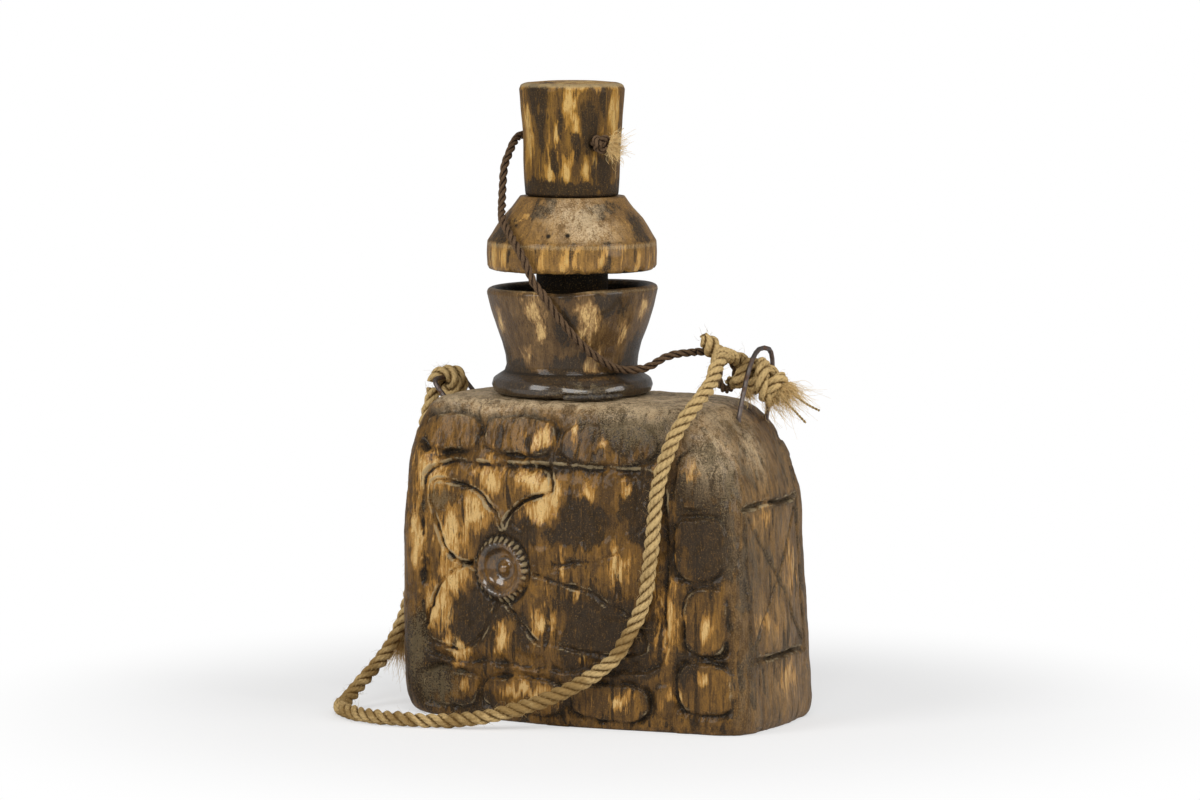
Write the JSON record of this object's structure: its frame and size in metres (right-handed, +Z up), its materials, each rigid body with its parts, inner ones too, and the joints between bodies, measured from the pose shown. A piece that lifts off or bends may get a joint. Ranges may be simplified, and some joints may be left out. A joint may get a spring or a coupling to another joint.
{
  "type": "wooden bottle",
  "caption": "Hand-carved wooden flask: a hollow block with a flared neck cup, a lift-out stopper with a collar, and a carrying rope between iron staples.",
  "frame": {"origin": "on the resting face, under the middle of the block, below the centre of its greatest width and depth", "axes": "+Z up along the neck; the carved front faces -Y; the neck stands off the middle towards -X, and the rope's knot is at +X"},
  "size_m": [0.204, 0.128, 0.2822],
  "materials": {
    "carved_wood": "oiled, dark patina in the carving",
    "neck_wood": "turned, oiled",
    "stopper_wood": "oiled, worn by the hand",
    "collar_wood": "turned, polished band",
    "resin": "granular dark resin",
    "iron": "forged wire, brown with rust",
    "rope_fibre": "laid plant fibre",
    "dark_cord": "braided, waxy",
    "pale_fray": "loose fibre"
  },
  "bodies": {
    "bottle": {"body_shell": "carved_wood", "neck_cup": "neck_wood", "neck_seal": "resin", "left_staple": "iron", "right_staple": "iron", "carrying_rope": "rope_fibre", "left_tail": "rope_fibre", "right_rope_end": "rope_fibre", "left_knot": "rope_fibre", "right_knot": "rope_fibre", "right_fray": "pale_fray", "left_tail_brush": "pale_fray", "stopper_tether": "dark_cord", "tether_hitch": "dark_cord"},
    "stopper": {"stopper_peg": "stopper_wood", "stopper_collar": "collar_wood", "tether_knot": "dark_cord", "tether_fray": "pale_fray"}
  },
  "joints": [
    {"name": "stopper_lift", "type": "slide", "parent": "bottle", "child": "stopper", "axis": [0, 0, 1], "range_m": [0, 0.05], "deforming": ["stopper_tether"]}
  ]
}
